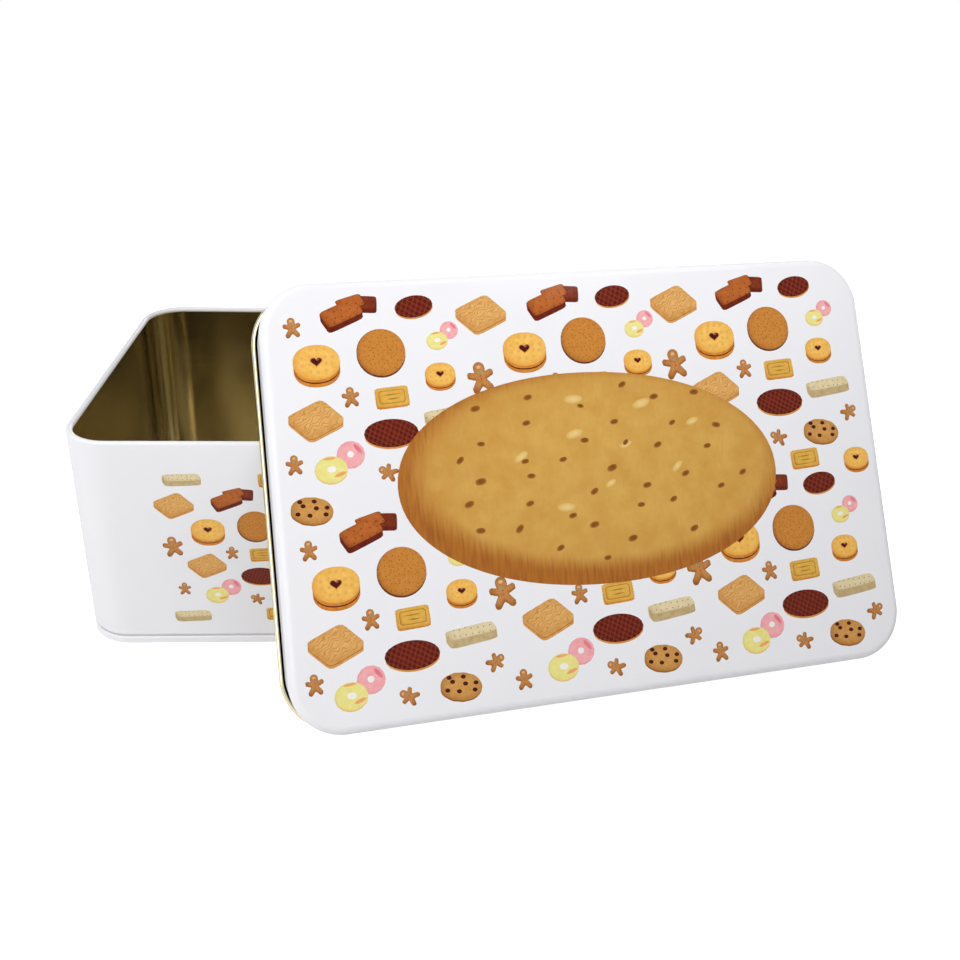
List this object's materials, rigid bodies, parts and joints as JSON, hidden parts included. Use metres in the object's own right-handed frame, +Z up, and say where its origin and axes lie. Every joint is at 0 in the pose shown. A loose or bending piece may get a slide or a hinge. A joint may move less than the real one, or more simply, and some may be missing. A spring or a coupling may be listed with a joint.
{
  "type": "cookie tin",
  "caption": "Rectangular tinplate biscuit tin with rounded corners, rolled rim, seamed base and a loose pressed lid that leans on its front rim.",
  "frame": {"origin": "middle of the tin's base, on the surface that it stands on", "axes": "+X along the tin's length to the right, +Y to its back, away from the leaning lid, +Z up"},
  "size_m": [0.2732, 0.1906, 0.1256],
  "materials": {
    "outside_lacquer": "gloss white lacquer with printed biscuits",
    "inside_lacquer": "satin gold lacquer"
  },
  "bodies": {
    "tin": {"body_wall": "outside_lacquer", "base_panel": "inside_lacquer"},
    "lid": {"lid": "outside_lacquer"}
  },
  "joints": [
    {"name": "lid_lift", "type": "slide", "parent": "tin", "child": "lid", "axis": [0, 0, 1], "range_m": [0, 0.1]}
  ]
}
